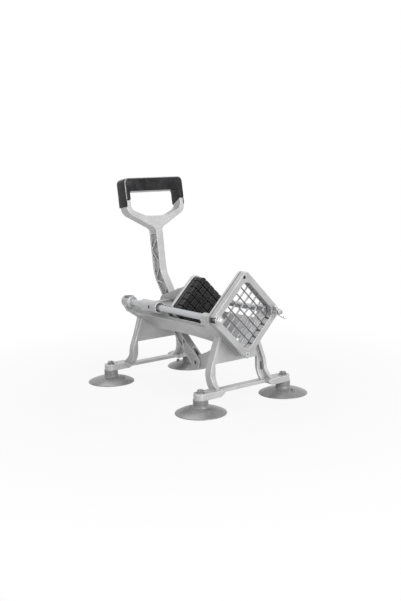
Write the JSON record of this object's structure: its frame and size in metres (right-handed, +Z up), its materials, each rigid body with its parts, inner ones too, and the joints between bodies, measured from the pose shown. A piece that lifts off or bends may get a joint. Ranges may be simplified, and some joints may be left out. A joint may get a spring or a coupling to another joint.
{
  "type": "french fry cutter",
  "caption": "Bench lever cutter: a lever and link push a studded block along two guide rods through a square blade head on suction feet.",
  "frame": {"origin": "on the bench, in the middle of the four suction feet", "axes": "-Y is the blade end where the strips come out, +Y the handle end, +X the right seen from the blade end, +Z up; the pusher moves along -Y"},
  "size_m": [0.2526, 0.3366, 0.3537],
  "materials": {
    "cast_aluminium": "satin as-cast",
    "polished_steel": "polished",
    "blade_steel": "ground",
    "bright_hardware": "zinc plated",
    "dark_hardware": "black oxide",
    "bush_plastic": "smooth",
    "black_plastic": "fine grain",
    "grip_plastic": "satin",
    "cup_rubber": "smooth, slightly milky"
  },
  "bodies": {
    "stand": {"front_stand": "cast_aluminium", "rear_stand": "cast_aluminium", "left_chute": "cast_aluminium", "right_chute": "cast_aluminium", "left_guide_rod": "polished_steel", "right_guide_rod": "polished_steel", "rod_clamp_screws": "dark_hardware", "blade_frame": "cast_aluminium", "front_blade_1": "blade_steel", "front_blade_2": "blade_steel", "front_blade_3": "blade_steel", "front_blade_4": "blade_steel", "front_blade_5": "blade_steel", "rear_blade_1": "blade_steel", "rear_blade_2": "blade_steel", "rear_blade_3": "blade_steel", "rear_blade_4": "blade_steel", "rear_blade_5": "blade_steel", "cap_nut": "bright_hardware", "nut_washers": "bright_hardware", "head_screw": "bright_hardware", "link_anchor_pin": "bright_hardware", "front_left_cup": "cup_rubber", "front_right_cup": "cup_rubber", "rear_left_cup": "cup_rubber", "rear_right_cup": "cup_rubber", "foot_screws": "bright_hardware", "foot_nuts": "bright_hardware"},
    "carriage": {"carriage": "cast_aluminium", "sleeve_bushes": "bush_plastic", "sleeve_grub_screws": "dark_hardware", "pusher_block": "black_plastic", "pusher_screws": "bright_hardware", "lever_pivot_pin": "bright_hardware"},
    "lever": {"lever": "cast_aluminium", "grip_cover": "grip_plastic", "link_pin": "dark_hardware"},
    "link": {"link": "cast_aluminium"},
    "wing_nut": {"wing_nut": "bright_hardware"}
  },
  "joints": [
    {"name": "carriage_slide", "type": "slide", "parent": "stand", "child": "carriage", "axis": [0, -1, 0], "range_m": [-0.015, 0.105]},
    {"name": "lever_pivot", "type": "hinge", "parent": "carriage", "child": "lever", "pos_m": [0, 0.062, 0.1418], "axis": [1, 0, 0], "range_deg": [-6.1, 42.3]},
    {"name": "link_pivot", "type": "hinge", "parent": "lever", "child": "link", "pos_m": [0, -0.012, 0.0456], "axis": [1, 0, 0], "range_deg": [-68.2, 9.9]},
    {"name": "wing_nut_turn", "type": "hinge", "parent": "stand", "child": "wing_nut", "pos_m": [0.057, -0.1406, 0.1418], "axis": [0, -1, 0], "continuous": true}
  ],
  "couplings": [
    {"joint": "lever_pivot", "follows": "carriage_slide", "rad_per_m": 7},
    {"joint": "link_pivot", "follows": "carriage_slide", "rad_per_m": -11.3}
  ]
}
